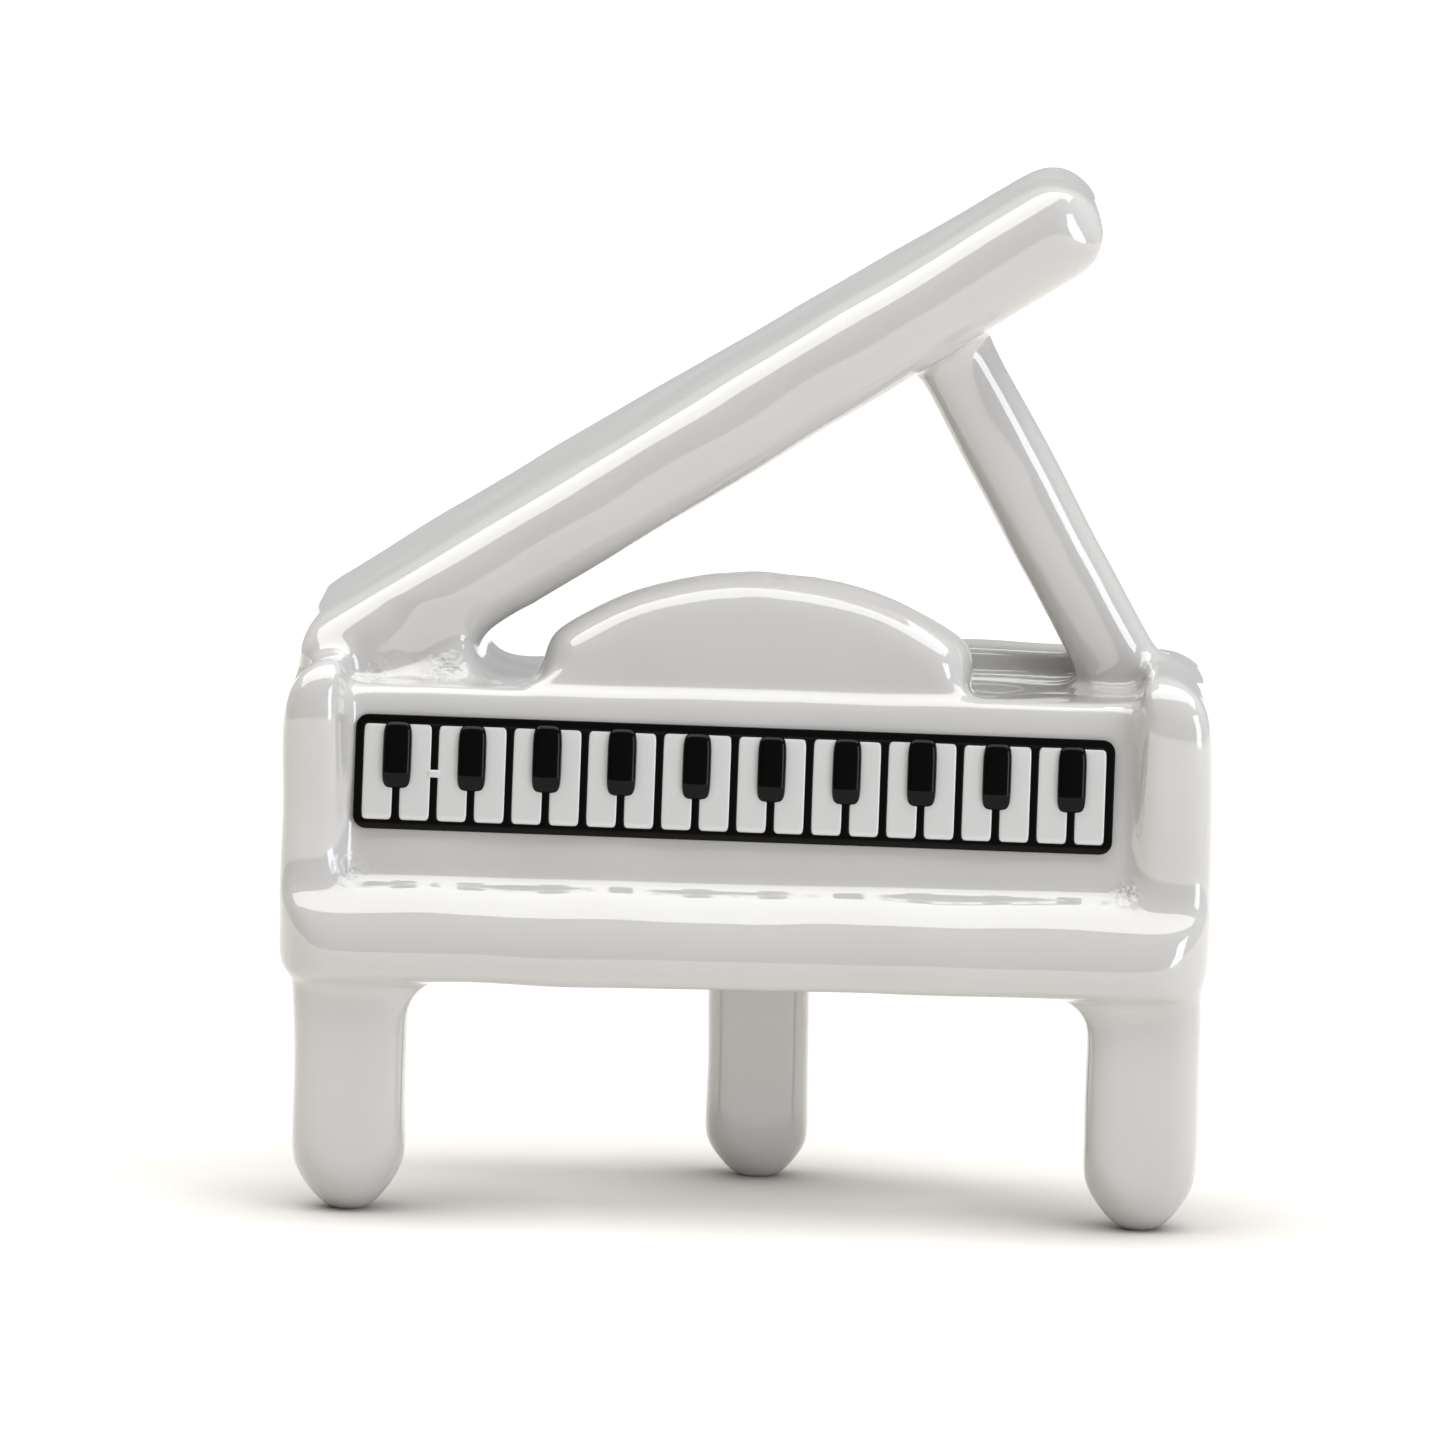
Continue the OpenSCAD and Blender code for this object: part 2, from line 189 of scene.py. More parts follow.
# %% [markdown]
# ## The glaze skin
# On the real object the white pieces are joined in wet clay and glazed as one, so no seam
# shows and every corner is filled. Bevels on the separate solids would round the edges but
# leave the corners between them sharp. The way here is the potter's own: the solids are
# brought together, a voxel remesh closes the joints between them, and a relaxing pass lets
# the surface flow until the edges are round. It works in millimetres, because the remesh
# likes numbers near one, and goes back to metres at the end.

# %% Mesh helpers
def evaluated(obj):
    """The object's mesh with its modifiers applied, as plain mesh data."""
    graph = bpy.context.evaluated_depsgraph_get()
    return bpy.data.meshes.new_from_object(obj.evaluated_get(graph))


def joined(*meshes):
    whole = bmesh.new()
    for mesh in meshes:
        whole.from_mesh(mesh)
    result = bpy.data.meshes.new("joined")
    whole.to_mesh(result)
    whole.free()
    return result


def remeshed(mesh, size):
    obj = bpy.data.objects.new("clay", mesh)
    scene.collection.objects.link(obj)
    step = obj.modifiers.new("remesh", "REMESH")
    step.mode = "VOXEL"
    step.voxel_size = size
    result = evaluated(obj)
    bpy.data.objects.remove(obj)
    return result


print("mesh helpers ready")

# %% Gather the white solids
WHITE_BODY = ["case", "fallboard", "deck", "music_desk", "lid", "lid_prop",
              "leg_front_left", "leg_front_right", "leg_rear"]
GLAZE_THICKNESS = 0.06


def gathered(names, grow):
    """One mesh in millimetres from merged copies of solids, each pushed out by grow."""
    whole = bmesh.new()
    for name in names:
        part = bmesh.new()
        part.from_mesh(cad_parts[name].data)
        bmesh.ops.remove_doubles(part, verts=part.verts, dist=1e-6)
        bmesh.ops.scale(part, vec=(1 / MM,) * 3, verts=part.verts)
        part.normal_update()
        moves = [v.normal * grow for v in part.verts]
        for v, move in zip(part.verts, moves):
            v.co += move
        spare = bpy.data.meshes.new("spare")
        part.to_mesh(spare)
        whole.from_mesh(spare)
        bpy.data.meshes.remove(spare)
        part.free()
    mesh = bpy.data.meshes.new("gathered")
    whole.to_mesh(mesh)
    whole.free()
    return mesh


white_solids = gathered(WHITE_BODY, GLAZE_THICKNESS)
print("white solids:", len(white_solids.vertices), "points")

# %% Blocks, for filling and for cutting
SHELF = 20.6        # height of the shelf that the music desk stands on
LID_ROOT_X, LID_ROOT_Z, LID_SLOPE = -15.75, 18.75, 32.4
SKIN, CUT = 0, 1    # a face is either skin or a cut face; the join between them stays sharp


def under_lid(x, drop=0.0):
    """Height of the lid's underside along its front edge, on the slope it is propped at."""
    return LID_ROOT_Z + (x - LID_ROOT_X) * math.tan(math.radians(LID_SLOPE)) - drop


def block(outline, low, high, view="front"):
    """A closed prism. A front outline is (x, z) pushed along y; a plan outline is (x, y) along z."""
    bm = bmesh.new()
    rings = []
    for depth in (low, high):
        if view == "front":
            rings.append([bm.verts.new((x, depth, z)) for x, z in outline])
        else:
            rings.append([bm.verts.new((x, y, depth)) for x, y in outline])
    bm.faces.new(rings[0])
    bm.faces.new(rings[1][::-1])
    for i in range(len(outline)):
        j = (i + 1) % len(outline)
        bm.faces.new((rings[0][i], rings[1][i], rings[1][j], rings[0][j]))
    bmesh.ops.recalc_face_normals(bm, faces=bm.faces)
    for f in bm.faces:
        f.material_index = CUT
    mesh = bpy.data.meshes.new("block")
    bm.to_mesh(mesh)
    bm.free()
    return mesh


print("the lid's underside leaves the shelf at x =",
      round(LID_ROOT_X + (SHELF - LID_ROOT_Z) / math.tan(math.radians(LID_SLOPE)), 2), "mm")

# %% Bring the clay together
VOXEL = 0.19
POOL_LEFT, POOL_BASE, POOL_RISE = -14.6, 19.6, -0.4


def pool(bank, top_x, front, back):
    """Slip that has filled the crotch between lid and deck. bank is its free side, going up."""
    return block([(POOL_LEFT, POOL_BASE), (bank[0][0], POOL_BASE), *bank,
                  (top_x, under_lid(top_x, POOL_RISE)),
                  (POOL_LEFT, under_lid(POOL_LEFT, POOL_RISE))], front, back)


front_pool = pool([(-9.6, 20.2), (-10.8, 21.0)], -11.0, -4.1, 5.6)
rear_pool = pool([(-10.8, 20.9)], -11.4, 5.0, 8.4)
clay = remeshed(joined(white_solids, front_pool, rear_pool), VOXEL)
clay.polygons.foreach_set("material_index", [SKIN] * len(clay.polygons))
print("clay:", len(clay.vertices), "points")

# %% [markdown]
# ## Let the glaze flow
# Glaze runs off the edges and into the corners while it melts. The same thing happens to a
# mesh when each point moves towards the middle of its neighbours. A mask says how far each
# place may flow: the recess round the keys stays crisp, the music desk is softer than the
# rest, and the crotch under the lid flows most. A slow noise then gives the surfaces the
# unevenness of a piece that was finished by hand.

# %% Relax, ripple and dent
def relax(mesh, rounds, where=None, pull=0.5):
    """Moves each point towards the middle of its neighbours, again and again.
    where(x, y, z) gives a share from 0 to 1, so that one part can flow more than another."""
    n = len(mesh.vertices)
    co = np.empty(n * 3)
    mesh.vertices.foreach_get("co", co)
    co = co.reshape(-1, 3)
    if where is not None:
        pull = pull * where(*co.T)[:, None]
    edges = np.empty(len(mesh.edges) * 2, np.int64)
    mesh.edges.foreach_get("vertices", edges)
    a, b = edges.reshape(-1, 2).T
    count = (np.bincount(a, minlength=n) + np.bincount(b, minlength=n)).clip(1)[:, None]
    for _ in range(rounds):
        total = np.stack([np.bincount(a, co[b, k], n) + np.bincount(b, co[a, k], n) for k in range(3)], 1)
        co = co + pull * (total / count - co)
    mesh.vertices.foreach_set("co", co.ravel())
    mesh.update()


def ripple(mesh, depth, width):
    """Hand-made unevenness: a slow noise along the normals."""
    n = len(mesh.vertices)
    co, no = np.empty(n * 3), np.empty(n * 3)
    mesh.vertices.foreach_get("co", co)
    mesh.vertex_normals.foreach_get("vector", no)
    co, no = co.reshape(-1, 3), no.reshape(-1, 3)
    wave = np.array([noise.noise(Vector(p) / width) for p in co])
    mesh.vertices.foreach_set("co", (co + no * (depth * wave)[:, None]).ravel())
    mesh.update()


def dent(mesh, middle, radius, depth):
    """A small nick, as from a fingernail in the wet clay: pushes the points near it down."""
    for v in mesh.vertices:
        near = (v.co - Vector(middle)).length / radius
        if near < 2.5:
            v.co.z -= depth * math.exp(-near * near)


print("three ways to work the clay: relax, ripple, dent")

# %% Where each part flows
RECESS_MIDDLE, RECESS_SOFT, RECESS_HALF = -0.25, 14.3, 15.1
DESK_FRONT, DESK_BACK, DESK_HALF = -6.4, -2.6, 9.2


def fade(value, start, end):
    return np.clip((value - start) / (end - start), 0.0, 1.0)


def outside_recess(x, y, z):
    across = 1 - fade(abs(x - RECESS_MIDDLE), RECESS_SOFT, RECESS_HALF)
    return 1 - across * fade(z, 12.0, 13.2) * (1 - fade(z, 20.9, 21.6)) * (1 - fade(y, -3.2, -2.2))


def recess_walls(x, y, z):
    across = fade(abs(x - RECESS_MIDDLE), 15.0, 15.4)
    return across * fade(z, 12.6, 13.6) * (1 - fade(z, 20.0, 21.0)) * (1 - fade(y, -5.6, -4.8))


def music_desk_only(x, y, z):
    across = 1 - fade(abs(x), 9.0, 9.6)
    return fade(z, SHELF, 21.4) * across * (1 - fade(y, DESK_BACK, -2.2)) * (z < under_lid(x, 0.4))


def crotch(x, y, z):
    across = fade(x, -14.6, -13.6) * (1 - fade(x, -9.2, -8.6))
    along = fade(y, -4.6, -3.8) * (1 - fade(y, 7.6, 8.4))
    return across * along * fade(z, 19.7, 20.2) * (1 - fade(z, 23.0, 23.6))


def drafted(mesh, draft):
    """The music desk left its mould with a draft: its front face is smaller all round, its
    back a little larger, and the whole of it leans to the right."""
    half_width, height, lean = 8.45, 4.4, 0.3
    for v in mesh.vertices:
        x, y, z = v.co
        if DESK_FRONT < y < DESK_BACK and z > SHELF and abs(x) < DESK_HALF and z < under_lid(x, 0.4):
            share = min(1.0, (DESK_BACK - y) / 2.6)
            rise = min(1.0, (z - SHELF) / 0.6)
            v.co.x = x + rise * (lean + x * (0.35 - share * draft) / half_width)
            v.co.z = SHELF + (z - SHELF) * (1 + (0.4 - share * draft) / height)


print("the mask at the middle of the keys and at a cheek:",
      float(outside_recess(0.0, -6.0, 16.0)), float(outside_recess(17.0, -6.0, 16.0)))

# %% Work the clay
relax(clay, 8)
drafted(clay, 1.1)
relax(clay, 14, outside_recess)
relax(clay, 24, music_desk_only)
relax(clay, 30, recess_walls)
relax(clay, 60, crotch)
ripple(clay, depth=0.08, width=3.5)
dent(clay, middle=(0.8, -4.0, 25.2), radius=0.35, depth=0.3)
print("glazed skin:", len(clay.polygons), "faces")

# %% [markdown]
# ## Part the skin into its pieces
# The pieces of the real one are separate until they are stuck together, so here they stay
# separate objects. Each is cut out of the skin with a block whose faces follow the joint it
# really has. The cut faces meet exactly, and along a cut both sides keep the normal of the
# uncut skin, so the glaze looks unbroken.

# %% Cutting
def carve(mesh, cutter, operation):
    for each in (mesh, cutter):
        while len(each.materials) < 2:
            each.materials.append(None)
    obj = bpy.data.objects.new("work", mesh)
    tool = bpy.data.objects.new("tool", cutter)
    for o in (obj, tool):
        scene.collection.objects.link(o)
    step = obj.modifiers.new("cut", "BOOLEAN")
    step.operation = operation
    step.solver = "MANIFOLD"
    step.object = tool
    result = evaluated(obj)
    bpy.data.objects.remove(obj)
    bpy.data.objects.remove(tool)
    return result


def part_off(mesh, cutter):
    """(the piece inside the block, what is left)"""
    return carve(mesh, cutter, "INTERSECT"), carve(mesh, cutter, "DIFFERENCE")


FAR = 20            # beyond the piano on either side
LEG_TOP = 8.9
PANEL_FOOT = 13.15
PANEL_BACK = -2.45
CROTCH_END = -9.3   # the filled crotch goes with the lid up to here
lid_block = block([(-FAR, 20.2), (-15.6, 19.5), (-13.6, SHELF), (CROTCH_END, SHELF),
                   (-9.2, under_lid(-9.2, 0.3)), (15, under_lid(15, 0.3)), (15, 45), (-FAR, 45)],
                  -4.15, 12)
prop_block = block([(3, 26), (10.5, 21.75), (16.6, 21.75), (16.6, 30), (12, 40), (3, 40)], -3, 5)
desk_block = block([(CROTCH_END, SHELF), (10, SHELF), (10, 27), (CROTCH_END, 27)], -6.2, -2.2)
panel_block = block([(-15.5, PANEL_FOOT), (15.1, PANEL_FOOT), (15.1, 20.9), (-15.5, 20.9)],
                    -7.6, PANEL_BACK)
deck_block = block([(-12.8, PANEL_BACK), (14.9, PANEL_BACK), (14.9, 1.7), (1.7, 1.7), (1.7, 5.9),
                    (-12.8, 5.9)], 19.3, 22.4, "plan")
legs_block = block([(-FAR, -1), (FAR, -1), (FAR, LEG_TOP), (-FAR, LEG_TOP)], -12, 12)

legs, rest = part_off(clay, legs_block)
lid, rest = part_off(rest, lid_block)
prop, rest = part_off(rest, prop_block)
desk, rest = part_off(rest, desk_block)
panel, rest = part_off(rest, panel_block)
deck, case = part_off(rest, deck_block)
BODY_PARTS = dict(case=case, fallboard=panel, deck=deck, music_desk=desk, lid=lid, lid_prop=prop)
print("parted:", {name: len(mesh.polygons) for name, mesh in BODY_PARTS.items()})


# %% Finish a piece
SHARP_ANGLE = 55
AUTO = (0.0, 0.0, 0.0)    # a corner normal that Blender works out itself
skin_tree = BVHTree.FromPolygons([v.co for v in clay.vertices], [p.vertices for p in clay.polygons])


def skin_normal(point):
    """The smooth normal of the uncut skin, at the place nearest to a point in millimetres."""
    spot, _, index, _ = skin_tree.find_nearest(point)
    corners = [clay.vertices[i] for i in clay.polygons[index].vertices]
    weights = poly_3d_calc([v.co for v in corners], spot)
    return sum((v.normal * w for v, w in zip(corners, weights)), Vector()).normalized()


def mark_cuts(mesh):
    """Makes the edges round each cut face sharp, and gives back the points on them."""
    border = set()
    bm = bmesh.new()
    bm.from_mesh(mesh)
    for edge in bm.edges:
        if len({f.material_index for f in edge.link_faces}) > 1:
            edge.smooth = False
            border.update(v.index for v in edge.verts)
    bm.to_mesh(mesh)
    bm.free()
    return border


def keep_skin_normals(mesh, border):
    known = {index: skin_normal(mesh.vertices[index].co / MM) for index in border}
    normals = [AUTO] * len(mesh.loops)
    for face in mesh.polygons:
        if face.material_index == SKIN:
            for corner in face.loop_indices:
                normals[corner] = known.get(mesh.loops[corner].vertex_index, AUTO)
    mesh.normals_split_custom_set(normals)


def finished(name, mesh, material, nodes):
    """A piece from a mesh in millimetres: scaled, shaded, parented to the root, and the CAD parts it stands
    for hidden.
    """
    mesh.transform(Matrix.Scale(MM, 4))
    mesh.name = name
    mesh.polygons.foreach_set("use_smooth", [True] * len(mesh.polygons))
    mesh.set_sharp_from_angle(angle=math.radians(SHARP_ANGLE))
    border = mark_cuts(mesh)
    if border:
        keep_skin_normals(mesh, border)
    mesh.polygons.foreach_set("material_index", [SKIN] * len(mesh.polygons))
    mesh.materials.clear()
    mesh.materials.append(material)
    obj = bpy.data.objects.new(name, mesh)
    scene.collection.objects.link(obj)
    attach(obj, "root")
    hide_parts(*nodes)
    return obj


print("skin normals are read from", len(clay.polygons), "faces")

# %% Make the white pieces
def largest_lumps(mesh, keep=1):
    """The largest closed lumps of a mesh, each as a mesh, and how many there were. A cut can
    leave specks behind, and this drops them."""
    bm = bmesh.new()
    bm.from_mesh(mesh)
    unseen, lumps = set(bm.verts), []
    while unseen:
        stack, lump = [unseen.pop()], []
        while stack:
            v = stack.pop()
            lump.append(v)
            for e in v.link_edges:
                w = e.other_vert(v)
                if w in unseen:
                    unseen.remove(w)
                    stack.append(w)
        lumps.append(lump)
    lumps.sort(key=len, reverse=True)
    kept = []
    for lump in lumps[:keep]:
        wanted = {v.index for v in lump}
        copy = bm.copy()
        copy.verts.ensure_lookup_table()
        bmesh.ops.delete(copy, geom=[v for v in copy.verts if v.index not in wanted], context="VERTS")
        kept.append(bpy.data.meshes.new("lump"))
        copy.to_mesh(kept[-1])
        copy.free()
    bm.free()
    return kept, len(lumps)


for name, mesh in BODY_PARTS.items():
    lumps, found = largest_lumps(mesh)
    piece = finished(name + "_glazed", lumps[0], porcelain, [name])
    print(piece.name, len(piece.data.polygons), "faces, from", found, "lump(s)")

three_legs, found = largest_lumps(legs, 3)
three_legs.sort(key=lambda leg: leg.vertices[0].co.x)
for name, mesh in zip(["leg_front_left", "leg_rear", "leg_front_right"], three_legs):
    piece = finished(name + "_glazed", mesh, porcelain, [name])
    print(piece.name, len(piece.data.polygons), "faces")

# %% [markdown]
# ## The keyboard
# The keys are a row: one key repeated at an even pitch. So one key is shaped once, and
# a small Geometry Nodes tree sets it out along the row, with a slight change of size from
# key to key, as a brush leaves. Everything is drawn flat, then stood on the leaning panel.

# %% Where the keyboard stands
LEAN, TILT = 8.0, 0.6            # the panel leans back; the row is a little out of level
KEYS, PITCH = 20, 1.4527
LINE = 0.31                      # width of the black line between two white keys
SIDE, BORDER = 0.185, 0.37       # black line at the ends of the row; above and below it
FRAME_W, FRAME_H = KEYS * PITCH + 2 * SIDE, 4.44
PANEL_CORNER = (-15.2, -7.0, 13.1)
ABOVE_LEDGE, PROUD = 1.75, 0.05
on_panel = (Matrix.Translation(PANEL_CORNER)
            @ Matrix.Rotation(math.radians(90 - LEAN), 4, "X")
            @ Matrix.Translation((FRAME_W / 2, ABOVE_LEDGE + FRAME_H / 2, PROUD))
            @ Matrix.Rotation(math.radians(-TILT), 4, "Z")
            @ Matrix.Translation((-FRAME_W / 2, -FRAME_H / 2, 0)))
print("keyboard runs from", on_panel @ Vector((0, 0, 0)), "to", on_panel @ Vector((FRAME_W, FRAME_H, 0)))


# %% [markdown]
# ## A row of keys
# An array modifier could repeat a key, but every copy would be the same. This tree puts a
# key on each point of a line and gives each one a size of its own, from a fixed seed.

# %% A tree that sets out a row
def row_tree():
    tree = bpy.data.node_groups.new("row_of_keys", "GeometryNodeTree")
    face = tree.interface
    face.new_socket("Geometry", in_out="OUTPUT", socket_type="NodeSocketGeometry")
    face.new_socket("Geometry", in_out="INPUT", socket_type="NodeSocketGeometry")
    for label, kind, value in (("Count", "NodeSocketInt", 20), ("Pitch", "NodeSocketFloat", 1.45),
                               ("Start", "NodeSocketFloat", 0.0), ("Unevenness", "NodeSocketFloat", 0.02),
                               ("Seed", "NodeSocketInt", 3), ("Material", "NodeSocketMaterial", None)):
        socket = face.new_socket(label, in_out="INPUT", socket_type=kind)
        if value is not None:
            socket.default_value = value
    given = add(tree, "NodeGroupInput").outputs
    start = add(tree, "ShaderNodeCombineXYZ", X=given["Start"])
    step = add(tree, "ShaderNodeCombineXYZ", X=given["Pitch"])
    line = add(tree, "GeometryNodeMeshLine", Count=given["Count"])
    tree.links.new(start.outputs[0], line.inputs["Start Location"])
    tree.links.new(step.outputs[0], line.inputs["Offset"])
    least = add(tree, "ShaderNodeMath", {"operation": "SUBTRACT", 0: 1.0}, i1=given["Unevenness"])
    most = add(tree, "ShaderNodeMath", {"operation": "ADD", 0: 1.0}, i1=given["Unevenness"])
    size = add(tree, "FunctionNodeRandomValue", {"data_type": "FLOAT"}, Seed=given["Seed"])
    tree.links.new(least.outputs[0], size.inputs[2])
    tree.links.new(most.outputs[0], size.inputs[3])
    keys = add(tree, "GeometryNodeInstanceOnPoints", Points=line.outputs[0],
               Instance=given["Geometry"], Scale=size.outputs[1])
    real = add(tree, "GeometryNodeRealizeInstances", Geometry=keys.outputs[0])
    dressed = add(tree, "GeometryNodeSetMaterial", Geometry=real.outputs[0], Material=given["Material"])
    add(tree, "NodeGroupOutput", Geometry=dressed.outputs[0])
    return tree


def set_out(mesh, tree, **values):
    """Runs the tree on a mesh and gives back plain mesh data."""
    obj = bpy.data.objects.new("row", mesh)
    scene.collection.objects.link(obj)
    step = obj.modifiers.new("row", "NODES")
    step.node_group = tree
    for item in tree.interface.items_tree:
        if item.in_out == "INPUT" and item.name in values:
            step[item.identifier] = values[item.name]
    result = evaluated(obj)
    bpy.data.objects.remove(obj)
    return result


rows = row_tree()
print("row tree:", len(rows.nodes), "nodes")


# %% One key, as a soft pad
def pad(w, d, h, sharp, cuts, front=0.0):
    """A closed pad, w by d across and h high, between a pebble (sharp near 2) and a box. front
    is the share of its height that it loses towards its near end."""
    slope_start = 0.62
    bm = bmesh.new()
    bmesh.ops.create_cube(bm, size=2.0)
    bmesh.ops.subdivide_edges(bm, edges=bm.edges, cuts=cuts, use_grid_fill=True)
    for v in bm.verts:
        x, y, z = v.co
        k = (abs(x) ** sharp + abs(y) ** sharp + abs(z) ** sharp) ** (-1 / sharp)
        x, y, z = x * k, y * k, z * k
        if front and z > 0:
            z *= 1 - front * max(0.0, -y - slope_start) / (1 - slope_start)
        v.co = (x * w / 2, y * d / 2, z * h)
    mesh = bpy.data.meshes.new("key")
    bm.to_mesh(mesh)
    bm.free()
    return mesh


print("made the shape of a key: a pad")

# %% White keys
TUCK = 0.02         # the keys reach this far under the lines
one_white = pad(PITCH - LINE + TUCK, FRAME_H - 2 * BORDER + TUCK, 0.22, sharp=14.0, cuts=15)
one_white.transform(Matrix.Translation((0, FRAME_H / 2, 0)))
whites = set_out(one_white, rows, Count=KEYS, Pitch=PITCH, Start=SIDE + PITCH / 2,
                 Unevenness=0.012, Seed=5, Material=key_white)
# a drop of white glaze has run across the line between the second and third keys
drop = pad(0.62, 0.34, 0.27, sharp=4.0, cuts=7)
drop.transform(Matrix.Translation((SIDE + 2 * PITCH, 2.2, 0)))
whites = joined(whites, drop)
whites.transform(on_panel)
white_keys = finished("white_keys", whites, key_white,
                      ["white_key_%02d" % i for i in range(1, KEYS + 1)])
print("white keys:", len(white_keys.data.polygons), "faces")

# %% Black keys
BLACKS = KEYS // 2
BLACK_W, BLACK_L = 1.13, 2.62
BLACK_FROM_TOP = 1.56     # from the frame's top edge to the middle of a black key
one_black = pad(BLACK_W, BLACK_L, 0.48, sharp=5.0, cuts=15, front=0.3)
one_black.transform(Matrix.Translation((0, FRAME_H - BLACK_FROM_TOP, 0)))
blacks = set_out(one_black, rows, Count=BLACKS, Pitch=2 * PITCH, Start=SIDE + PITCH,
                 Unevenness=0.015, Seed=9, Material=enamel_key)
blacks.transform(on_panel)
black_keys = finished("black_keys", blacks, enamel_key,
                      ["black_key_%02d" % i for i in range(1, BLACKS + 1)])
print("black keys:", len(black_keys.data.polygons), "faces")


# %% [markdown]
# ## The line work
# On the real one the black lines round and between the keys are one piece of thick enamel
# with rounded rims. A plate with twenty windows could be cut with Booleans, but a filled
# flat curve makes it in one step and bevels every rim as well.

# %% The line work round the keys
FRAME_CORNER, WINDOW_CORNER = 0.5, 0.16
LINE_HALF, LINE_BEVEL, LINE_LIFT = 0.12, 0.04, 0.09    # half the height of a line; its rim; its lift


def rounded(x0, y0, x1, y1, r, steps=5):
    """The outline of a rectangle with round corners, as points."""
    points = []
    corners = ((x1 - r, y1 - r, 0), (x0 + r, y1 - r, 90), (x0 + r, y0 + r, 180), (x1 - r, y0 + r, 270))
    for cx, cy, turn in corners:
        for i in range(steps + 1):
            t = math.radians(turn + 90 * i / steps)
            points.append((cx + r * math.cos(t), cy + r * math.sin(t)))
    return points


def lattice():
    """The black frame: a plate with one window for each key, its rims bevelled."""
    curve = bpy.data.curves.new("lattice", "CURVE")
    curve.dimensions = "2D"
    curve.fill_mode = "BOTH"
    outlines = [rounded(0, 0, FRAME_W, FRAME_H, FRAME_CORNER)]
    for i in range(KEYS):
        x = SIDE + i * PITCH
        outlines.append(rounded(x + LINE / 2, BORDER, x + PITCH - LINE / 2, FRAME_H - BORDER, WINDOW_CORNER))
    for points in outlines:
        spline = curve.splines.new("POLY")
        spline.points.add(len(points) - 1)
        for p, (x, y) in zip(spline.points, points):
            p.co = (x, y, 0, 1)
        spline.use_cyclic_u = True
    curve.extrude = LINE_HALF - LINE_BEVEL
    curve.bevel_depth = LINE_BEVEL
    curve.bevel_resolution = 2
    curve.offset = -LINE_BEVEL
    obj = bpy.data.objects.new("lattice", curve)
    scene.collection.objects.link(obj)
    mesh = evaluated(obj)
    bpy.data.objects.remove(obj)
    bm = bmesh.new()
    bm.from_mesh(mesh)
    bmesh.ops.remove_doubles(bm, verts=bm.verts, dist=1e-4)
    bmesh.ops.recalc_face_normals(bm, faces=bm.faces)
    bm.to_mesh(mesh)
    open_edges = sum(1 for e in bm.edges if len(e.link_faces) != 2)
    bm.free()
    return mesh, open_edges


lines, open_edges = lattice()
lines.transform(on_panel @ Matrix.Translation((0, 0, LINE_LIFT)))
key_frame = finished("key_lines", lines, enamel_line, ["key_frame"])
print("lines:", len(key_frame.data.polygons), "faces,", open_edges, "open edges")

# %% [markdown]
# ## Studio
# White glaze shows mostly what it reflects, so the studio matters as much as the material.
# The floor is a pale sheet with a painted glow: evenly white further off, dimmer near the piano and dimmer
# still under each foot, which paints the shadows under it. The room is bright behind the piano and darker in
# front, one broad lamp hangs overhead, and a small cool one stands to the right. The broad lamp draws the
# long highlight on the lid.

# %% Floor
NEAR, WIDE = 0.04, 0.40           # metres from the piano
# painted glow: lower near the piano, which paints the shade round it, and brighter further off
NEAR_PAINTED_GLOW, WIDE_PAINTED_GLOW = 0.32, 0.74
PAINTED_SHADOW_REACH = 0.007                # how near a foot has to be to paint a contact shadow into the glow


def painted_glow_sheet():
    """Paper with a painted glow: evenly white further off, dimmer near the piano, and dimmed again where a
    foot stands close over it, which paints the contact shadows.
    """
    paper = bpy.data.materials.new("seamless_paper_painted_glow")
    paper.use_nodes = True
    tree = paper.node_tree
    sheet = tree.nodes["Principled BSDF"]
    sheet.inputs["Base Color"].default_value = linear("#CBC8C3")
    sheet.inputs["Roughness"].default_value = 0.9
    sheet.inputs["Emission Color"].default_value = linear("#FFFDFA")
    middle = add(tree, "ShaderNodeTexCoord")
    reach = add(tree, "ShaderNodeVectorMath", {"operation": "LENGTH"}, i0=middle.outputs["Object"])
    glow = add(tree, "ShaderNodeMapRange",
               {"interpolation_type": "SMOOTHSTEP", "From Min": NEAR, "From Max": WIDE,
                "To Min": NEAR_PAINTED_GLOW, "To Max": WIDE_PAINTED_GLOW}, Value=reach.outputs["Value"])
    # painted contact shadow: the glow is dimmed where a foot stands close over the sheet
    foot_occlusion = add(tree, "ShaderNodeAmbientOcclusion", {"samples": 8, "Distance": PAINTED_SHADOW_REACH})
    painted_contact_shadow = add(tree, "ShaderNodeMath", {"operation": "POWER", 1: 3.0}, i0=foot_occlusion.outputs["AO"])
    painted_floor_glow = add(tree, "ShaderNodeMath", {"operation": "MULTIPLY"},
              i0=glow.outputs["Result"], i1=painted_contact_shadow.outputs[0])
    tree.links.new(painted_floor_glow.outputs[0], sheet.inputs["Emission Strength"])
    return paper


bm = bmesh.new()
bmesh.ops.create_grid(bm, x_segments=1, y_segments=1, size=1.5)
floor_mesh = bpy.data.meshes.new("floor")
bm.to_mesh(floor_mesh)
bm.free()
floor_mesh.materials.append(painted_glow_sheet())
floor = bpy.data.objects.new("floor", floor_mesh)
scene.collection.objects.link(floor)
print("floor, 3 m across")

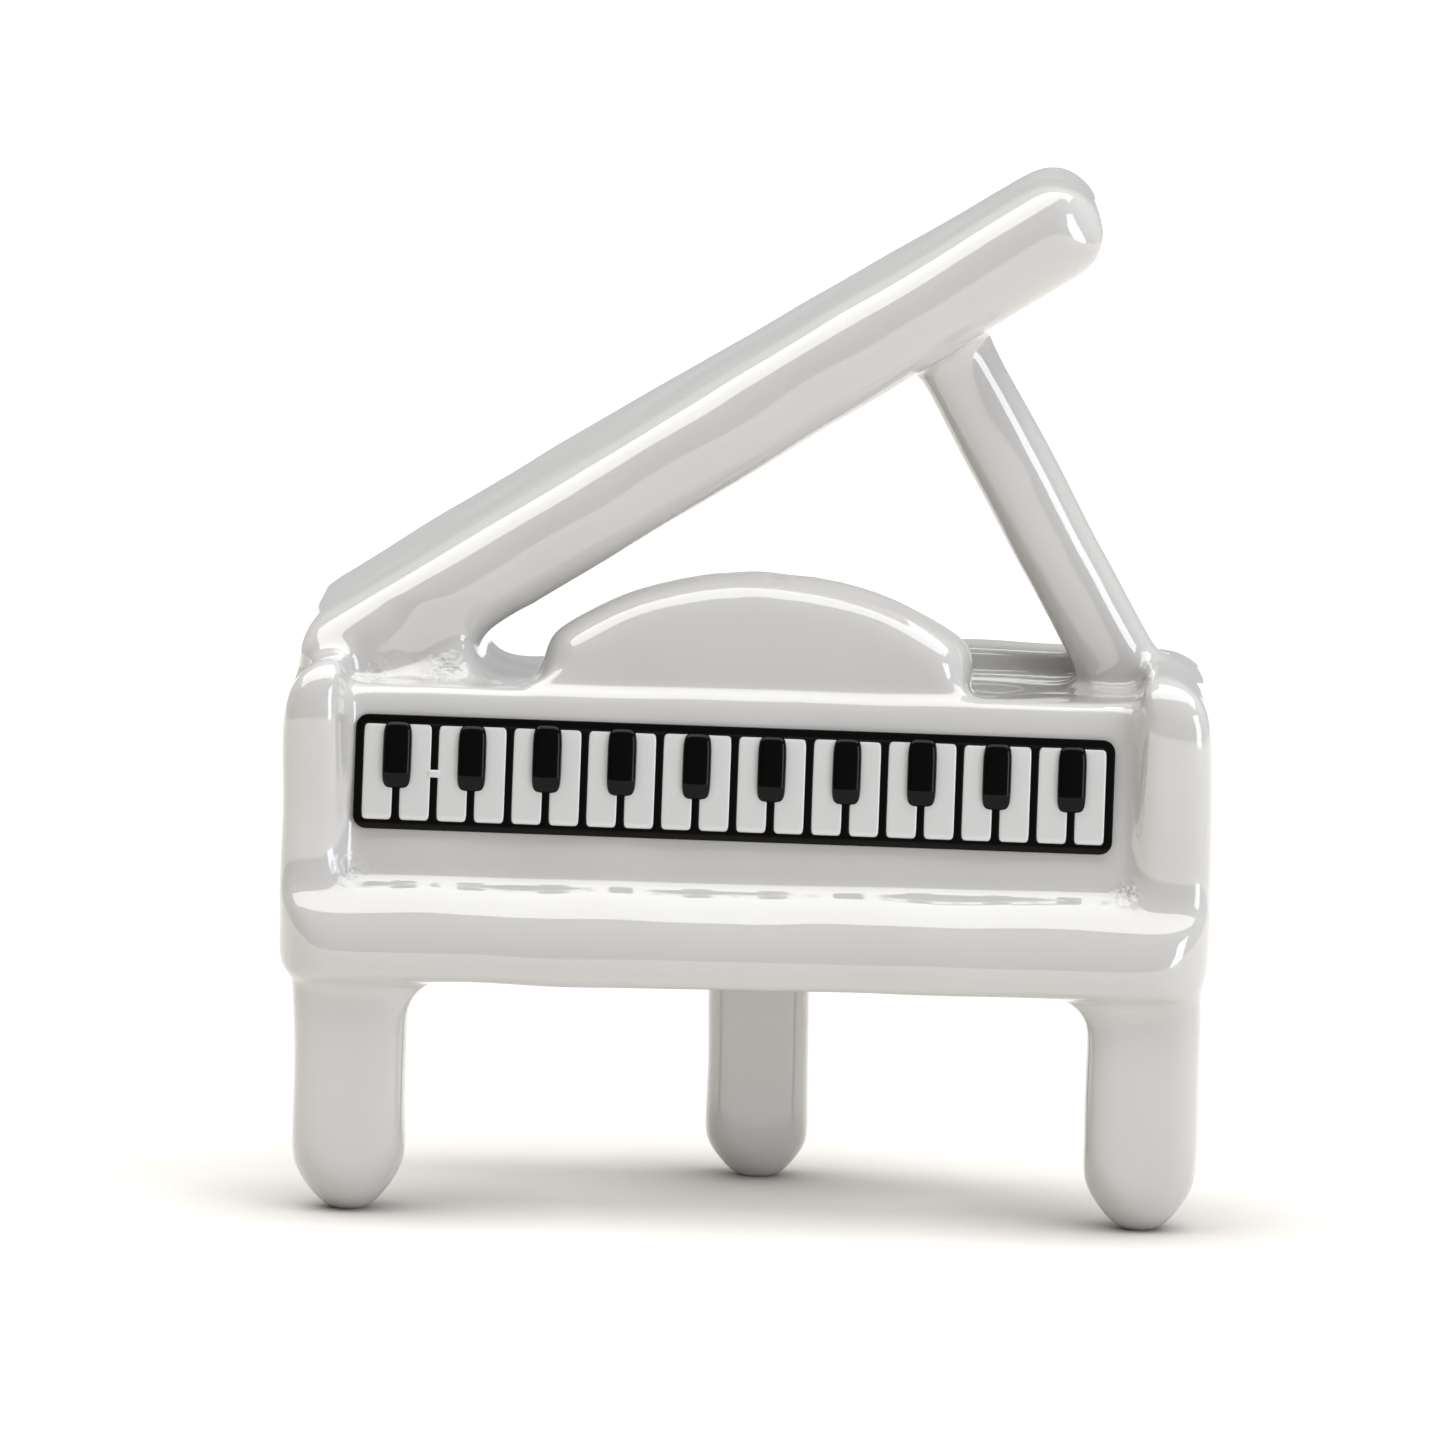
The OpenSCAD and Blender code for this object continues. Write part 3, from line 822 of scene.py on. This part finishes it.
# %% Room and lamps
def bright_room():
    """White behind and above; in front it falls off, warm to the left and cool to the right."""
    front_left, front_right = (0.15, 0.135, 0.11, 1), (0.25, 0.27, 0.30, 1)
    behind = (0.55, 0.55, 0.55, 1)
    world = bpy.data.worlds.new("room")
    scene.world = world
    world.use_nodes = True
    tree = world.node_tree
    tree.nodes.clear()
    where = add(tree, "ShaderNodeTexCoord")
    axes = add(tree, "ShaderNodeSeparateXYZ", Vector=where.outputs["Generated"])
    side = add(tree, "ShaderNodeMapRange",
               {"interpolation_type": "SMOOTHSTEP", "From Min": -0.7, "From Max": 0.7},
               Value=axes.outputs["X"])
    rear = add(tree, "ShaderNodeMapRange",
               {"interpolation_type": "SMOOTHSTEP", "From Min": -0.35, "From Max": 0.3},
               Value=axes.outputs["Y"])
    front = add(tree, "ShaderNodeMix", {"data_type": "RGBA", 6: front_left, 7: front_right},
                Factor=side.outputs["Result"])
    around = add(tree, "ShaderNodeMix", {"data_type": "RGBA", 7: behind},
                 Factor=rear.outputs["Result"], i6=front.outputs[2])
    sky = add(tree, "ShaderNodeBackground", {"Strength": 1.0}, Color=around.outputs[2])
    add(tree, "ShaderNodeOutputWorld", Surface=sky.outputs[0])


def lamp(name, where, width, depth, watts, colour):
    """A rectangular lamp at a place in metres, turned towards the piano."""
    light = bpy.data.lights.new(name, "AREA")
    light.shape = "RECTANGLE"
    light.size, light.size_y, light.energy = width, depth, watts
    light.color = linear(colour)[:3]
    obj = bpy.data.objects.new(name, light)
    scene.collection.objects.link(obj)
    obj.location = where
    obj.rotation_euler = (Vector((0, 0, 0.02)) - Vector(where)).to_track_quat("-Z", "Y").to_euler()
    return obj


bright_room()
lamp("softbox_top", (0.0, -0.02, 0.44), 0.86, 0.46, 3.7, "#FFFFFF")
lamp("softbox_right", (0.32, -0.30, 0.11), 0.18, 0.24, 0.65, "#F2F6FF")
scene.view_settings.view_transform = "Standard"
scene.view_settings.look = "None"

# %% [markdown]
# ## Camera
# A long lens half a metre away, a little above keyboard height and a little to the right,
# turned by about a degree, as the piano stands slightly out of true.

# %% Camera
AZIMUTH, ELEVATION, ROLL = 2.2, 7.0, 1.2
DISTANCE, TARGET = 0.47, Vector((-0.00082, -0.006, 0.0192))
lens = bpy.data.cameras.new("camera")
lens.sensor_width, lens.lens = 36, 300.5
lens.clip_start, lens.clip_end = 0.01, 10
camera = bpy.data.objects.new("camera", lens)
scene.collection.objects.link(camera)
a, e = math.radians(AZIMUTH), math.radians(ELEVATION)
back = Vector((math.sin(a) * math.cos(e), -math.cos(a) * math.cos(e), math.sin(e)))
camera.location = TARGET + back * DISTANCE
turn = (-back).to_track_quat("-Z", "Y").to_matrix().to_4x4() @ Matrix.Rotation(math.radians(ROLL), 4, "Z")
camera.rotation_euler = turn.to_euler()
scene.camera = camera
print("camera at", [round(c, 3) for c in camera.location], "with a", lens.lens, "mm lens")
